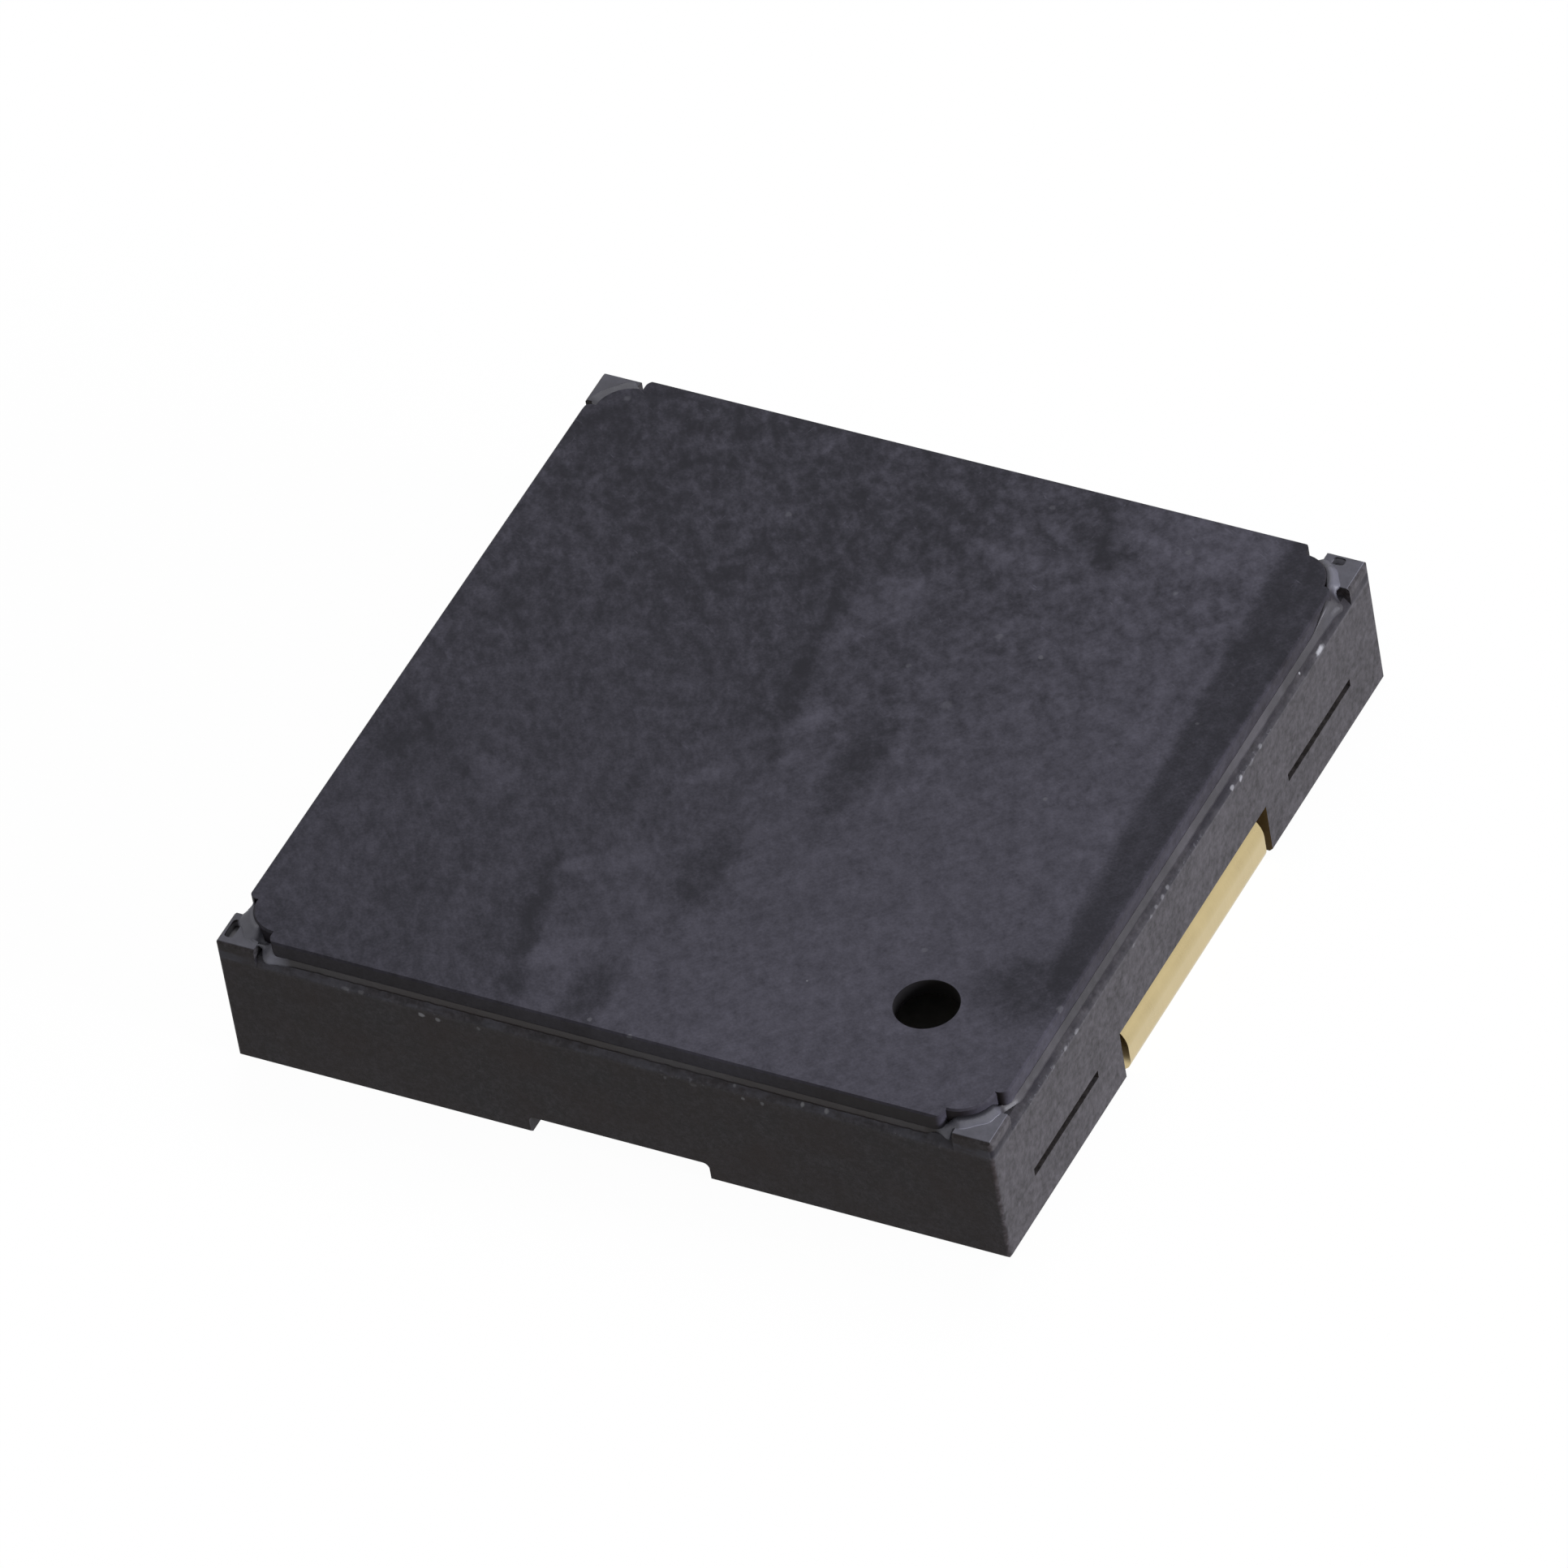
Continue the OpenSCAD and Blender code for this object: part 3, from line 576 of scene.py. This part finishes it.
# the bead at the back right is thinner than the others
full = np.where((px > 0) & (py > 0), 0.80, 1.0)
bead = at_corner * (0.85 + 0.15 * wave(count, 1.0, 0.1, 9)) * full
pale = np.clip(bead + run_out + climb * 0.12, 0, 1)
print("resin reaches", round(float(spill.max()), 2), "mm over a post")

# %% Ways to place a line of points
INNER_EDGE = 0.94          # the hidden inner edge, as a share of the path
lid_z = lid_low[2]
forward, behind = np.roll(path, -1, axis=0), np.roll(path, 1, axis=0)
tangent = forward - behind
tangent /= np.linalg.norm(tangent, axis=1)[:, None]
outwards = np.column_stack([tangent[:, 1], -tangent[:, 0]])


def between(on_side, on_corner):
    """One number along the sides, blended into another at the corners."""
    return on_side + (on_corner - on_side) * at_corner


def rail(offset, height):
    """One line of points along the path, moved outwards and set at a height."""
    flat = path + outwards * np.broadcast_to(offset, count)[:, None]
    return np.column_stack([flat, np.broadcast_to(height, count)])


def on_bevel(offset):
    """The height of the rim, which falls away in a bevel, at an offset from the lid's edge."""
    side_gap = np.where(abs(px) > abs(py), case_high[0] - lid_high[0], case_high[1] - lid_high[1])
    return rim_z - np.clip(offset - side_gap + BEVEL_IN, 0, None) * (rim_z - bevel_z) / BEVEL_IN


def inner_rail(height):
    """The hidden inner edge, which is the path drawn in towards the middle, at a height."""
    return np.column_stack([path * INNER_EDGE, np.full(count, height)])


# %% The profile's ten lines
CLIMB_Z = lid_high[2] - 0.014              # where the climbing resin ends, just under the face

# it fills the notch between post and lobe
fill = (hump(px, -3.90, 0.09) + hump(px, 3.93, 0.07)) * (py < -4.2) + hump(py, 3.87, 0.09) * (px > 4.2)
swell = 0.026 * run_out + 0.085 * fill + 0.004 * rough_edge
# on the right and left it spreads over the rim's bevel, and on the front and back it is flush
flare = np.where(abs(px) > abs(py), 0.040, 0.006)
foot = 0.004 + flare + swell
rails = np.stack([
    # along the rim and outwards to the foot
    inner_rail(rim_z),
    rail(between(foot, 0.055), between(on_bevel(foot) - 0.004, rim_z)),
    # up the outside of the fillet, or up between lobe and post
    rail(between(0.004 + flare * 0.72 + swell * 1.3, 0.078), between(rim_z + 0.004 - 0.2 * swell, 1.640)),
    rail(between(0.004 + flare * 0.40 + swell * 1.3, 0.098), between(rim_z + 0.026, post_z - 0.012)),
    # at a corner, out over the post's top and back
    rail(between(0.004 + flare * 0.22 + swell, 0.098 + (spill - 0.098) * at_corner),
         between(rim_z + 0.044, post_z - 0.006)),
    rail(between(0.003 + flare * 0.12 + swell, 0.090 + (spill * 0.86 - 0.090) * at_corner),
         between(lid_z - 0.008, post_z + 0.008)),
    # in to the lid's edge
    rail(between(0.004, 0.070), between(lid_z + 0.004, post_z + 0.020 + 0.006 * rough_edge)),
    rail(0.001, between(lid_z + 0.010 + 0.006 * rough_edge, post_z + 0.030) - pit * 0.14),
    # and back under the lid
    rail(-0.001, np.full(count, lid_z)),
    inner_rail(lid_z),
])
NEAR_LID, AT_LID = 6, 7                    # the two lines that climb
rails[NEAR_LID, :, 2] -= pit * 0.12
rails[AT_LID, :, 2] += climb * (CLIMB_Z - rails[AT_LID, :, 2])
rails[NEAR_LID, :, 2] += climb * 0.5 * (CLIMB_Z - rails[NEAR_LID, :, 2])
rails[NEAR_LID, :, :2] += outwards * 0.025 * (climb * (1 - at_corner))[:, None]
print("resin profile:", len(rails), "lines of", count, "points")


# %% The sculpted resin
def closed_tube(name, rails, **values):
    """A mesh from a grid of points that closes on itself both ways, turned to face outwards."""
    across_count, along_count = rails.shape[:2]
    index = np.arange(across_count * along_count).reshape(across_count, along_count)
    right_of, above = np.roll(index, -1, axis=1), np.roll(index, -1, axis=0)
    quads = np.stack([index, right_of, np.roll(right_of, -1, axis=0), above], axis=-1).reshape(-1, 4)
    points = rails.reshape(-1, 3)
    # six times the volume is a . (b x c) + a . (c x d), summed over the faces
    a, b, c, d = (points[quads[:, i]] for i in range(4))
    volume = (a * (np.cross(b, c) + np.cross(c, d))).sum() / 6
    if volume < 0:
        quads = quads[:, ::-1]
    mesh = bpy.data.meshes.new(name)
    mesh.from_pydata((points * MM).tolist(), [], quads.tolist())
    mesh.shade_smooth()
    for key, value in values.items():
        attribute = mesh.attributes.new(key, "FLOAT", "POINT")
        attribute.data.foreach_set("value", np.tile(value, across_count).astype(np.float32))
    piece = bpy.data.objects.new(name, mesh)
    scene.collection.objects.link(piece)
    print(name, len(points), "points,", len(quads), "faces,", round(abs(volume), 4), "mm3")
    return piece


resin = closed_tube("resin_bed", rails, pale=pale)
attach(resin, "root")
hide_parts("lid_bond")

# %% [markdown]
# ## The resin's look
# Cured resin is grey and half clear. Where it is thin the black plastic shows through, so it looks
# nearly black, and where it is thick it is pale. The mesh carries a number at each point that says how
# thick it lies there, and the finish mixes a thin and a thick colour by that number. Along the front the
# thin resin is painted darker in patches, and the thick beads that face the front are painted paler:
# that is painted shade and painted light.

# %% The resin's finish
resin_finish = Finish("bonding_resin", Specular_IOR_Level=0.30)
cloud = resin_finish.noise(0.16, 3.0, 0.6)
patchy = resin_finish.noise(0.8, 2.0).ramp(0.35, 0.65, 0.0, 0.45)
# painted shade: the thin resin is painted darker near the front
front_painted_shade = resin_finish.axis(1).ramp(-2.4, -1.5, 0.12, 0.0)
thin = resin_finish.colour(cloud * 0.75 + patchy - 0.1 - front_painted_shade,
                           (0.015, 0.014, 0.0155), (0.057, 0.053, 0.060))
# painted shade on the seam where it faces the front, in patches
shade_patches = resin_finish.noise(1.3, 1.0).ramp(0.42, 0.60, 0.85, 0.40)
front_seam_painted_shade = resin_finish.facing(1).ramp(-0.8, -0.2, 1.0, 0.0) * shade_patches
thin = resin_finish.over(thin, front_seam_painted_shade, (0.018, 0.0125, 0.0125))
thick = (resin_finish.attribute("pale").ramp(0.05, 0.9) * (0.55 + cloud * 0.6)).least(1.0)
resin_colour = resin_finish.over(thin, thick, (0.125, 0.125, 0.150))
# painted light: the thick beads are painted paler where they face the front
front_painted_light = thick * resin_finish.facing(1).ramp(-0.9, -0.3, 1.0, 0.0)
resin_finish.set("Base Color", resin_finish.over(resin_colour, front_painted_light * 0.75, (0.26, 0.26, 0.30)))
resin_finish.set("Roughness", 0.52 - cloud * 0.16)
resin_finish.bump(cloud, 0.004)
resin.data.materials.append(resin_finish.material)
print("resin finish:", len(resin_finish.tree.nodes), "nodes")

# %% [markdown]
# ## What is inside
# The diaphragm and its resins are hidden under the lid, but someone who takes the model apart sees
# them. Each gets a plain finish of its own: spring metal, silvered ceramic, silicone and two resins.

# %% The inner finishes
def plain(name, dark, light, rough, size=0.3, depth=0.001, **constants):
    """A quiet finish: two tones of one colour mixed by a cloud, a little uneven in gloss."""
    finish = Finish(name, **constants)
    cloud = finish.noise(size, 4.0, 0.6)
    finish.set("Base Color", finish.colour(cloud, dark, light))
    finish.set("Roughness", rough - 0.1 + cloud * 0.2)
    finish.bump(cloud, depth)
    return finish


CORNERS = [f"{depth}_{side}" for depth in ("front", "back") for side in ("left", "right")]
wear(plain("spring_metal", (0.48, 0.47, 0.45), (0.62, 0.61, 0.58), 0.32, Metallic=1.0),
     "diaphragm_plate")
wear(plain("electroded_ceramic", (0.44, 0.42, 0.38), (0.60, 0.58, 0.54), 0.55, 0.12), "piezo_ceramic")
wear(plain("silicone", (0.62, 0.62, 0.58), (0.74, 0.74, 0.70), 0.40, 0.5), "seal_ring")
wear(plain("elastic_resin", (0.26, 0.24, 0.13), (0.38, 0.35, 0.20), 0.35),
     *[f"undercoat_{corner}" for corner in CORNERS])
wear(plain("silver_adhesive", (0.34, 0.34, 0.34), (0.50, 0.50, 0.49), 0.60, 0.08, 0.004),
     *[f"conductor_{corner}" for corner in CORNERS])
print("inner finishes on", 3 + 2 * len(CORNERS), "pieces")

# %% [markdown]
# ## Floor, light and background
# The part stands on white paper under broad, soft light. The paper and the world look white to the camera
# and in reflections, and give less to matt surfaces, so the black plastic keeps its contrast. A soft lamp
# low on the right lights the right side more than the front, and a weaker one high behind evens the lid.


# %% Tell rays to the camera from others
def strongest(tree, first, second):
    """The larger of two values."""
    most = tree.nodes.new("ShaderNodeMath")
    most.operation = "MAXIMUM"
    tree.links.new(first, most.inputs[0])
    tree.links.new(second, most.inputs[1])
    return most.outputs[0]


def seen_directly(tree):
    """1 for rays from the camera, or mirrored or let through on their way to it, and 0 for others."""
    rays = tree.nodes.new("ShaderNodeLightPath")
    mirrored = strongest(tree, rays.outputs["Is Camera Ray"], rays.outputs["Is Glossy Ray"])
    return strongest(tree, mirrored, rays.outputs["Is Transmission Ray"])


def between_rays(tree, directly, to_others, to_camera):
    """One value for directly seen rays and another for the rest."""
    choice = tree.nodes.new("ShaderNodeMapRange")
    tree.links.new(directly, choice.inputs[0])
    choice.inputs[3].default_value = to_others
    choice.inputs[4].default_value = to_camera
    return choice.outputs[0]


# %% The paper
GLOW = 1.02                # of the paper, to directly seen rays
GLOW_SHARE = 0.95          # of the glow, against the matt share that holds the shadow
PAPER_SEEN, PAPER_MATT = 0.92, 0.14        # how pale the matt share is, seen directly and to others

paper = bpy.data.materials.new("paper")
paper.use_nodes = True
tree = paper.node_tree
tree.nodes.clear()
directly = seen_directly(tree)
matt = tree.nodes.new("ShaderNodeBsdfDiffuse")
tree.links.new(between_rays(tree, directly, PAPER_MATT, PAPER_SEEN), matt.inputs["Color"])
white = tree.nodes.new("ShaderNodeEmission")
white.inputs["Color"].default_value = (1.0, 1.0, 1.0, 1.0)
white.inputs["Strength"].default_value = GLOW
blend = tree.nodes.new("ShaderNodeMixShader")
tree.links.new(between_rays(tree, directly, 0.0, GLOW_SHARE), blend.inputs[0])
tree.links.new(matt.outputs[0], blend.inputs[1])
tree.links.new(white.outputs[0], blend.inputs[2])
output = tree.nodes.new("ShaderNodeOutputMaterial")
tree.links.new(blend.outputs[0], output.inputs["Surface"])

# %% The floor
FLOOR_SIZE = 3.0           # m
floor_mesh = bpy.data.meshes.new("floor")
half = FLOOR_SIZE / 2
floor_mesh.from_pydata([(-half, -half, 0), (half, -half, 0), (half, half, 0), (-half, half, 0)],
                       [], [(0, 1, 2, 3)])
floor = bpy.data.objects.new("floor", floor_mesh)
floor.data.materials.append(paper)
scene.collection.objects.link(floor)
print("floor", FLOOR_SIZE, "m wide")

# %% The world and the lamps
AMBIENT = 0.30             # of the white world, to matt surfaces
world = bpy.data.worlds.new("studio")
scene.world = world
world.use_nodes = True
tree = world.node_tree
tree.nodes.clear()
sky = tree.nodes.new("ShaderNodeBackground")
sky.inputs["Color"].default_value = (1.0, 1.0, 1.0, 1.0)
tree.links.new(between_rays(tree, seen_directly(tree), AMBIENT, 1.0), sky.inputs["Strength"])
output = tree.nodes.new("ShaderNodeOutputWorld")
tree.links.new(sky.outputs[0], output.inputs["Surface"])


def soft_lamp(name, place, width, height, power):
    """A flat lamp that faces the part, at a place in metres."""
    lamp = bpy.data.objects.new(name, bpy.data.lights.new(name, "AREA"))
    lamp.data.shape = "RECTANGLE"
    lamp.data.size = width
    lamp.data.size_y = height
    lamp.data.energy = power
    axis = np.array(place) / np.linalg.norm(place)
    side = np.cross([0.0, 0.0, 1.0], axis)
    side /= np.linalg.norm(side)
    turned = np.eye(4)
    turned[:3, 0], turned[:3, 1], turned[:3, 2] = side, np.cross(axis, side), axis
    turned[:3, 3] = place
    lamp.matrix_world = turned.T.tolist()
    scene.collection.objects.link(lamp)
    return lamp


side_lamp = soft_lamp("side_lamp", (0.45, 0.00, 0.060), 0.20, 0.09, 2.8)
side_lamp.data.color = (0.970, 0.975, 1.070)
soft_lamp("back_lamp", (-0.05, 0.30, 0.50), 0.30, 0.30, 0.88)
scene.view_settings.view_transform = "Standard"
print("world and two lamps set")

# %% [markdown]
# ## Finish

# %% Update the scene
bpy.context.view_layer.update()
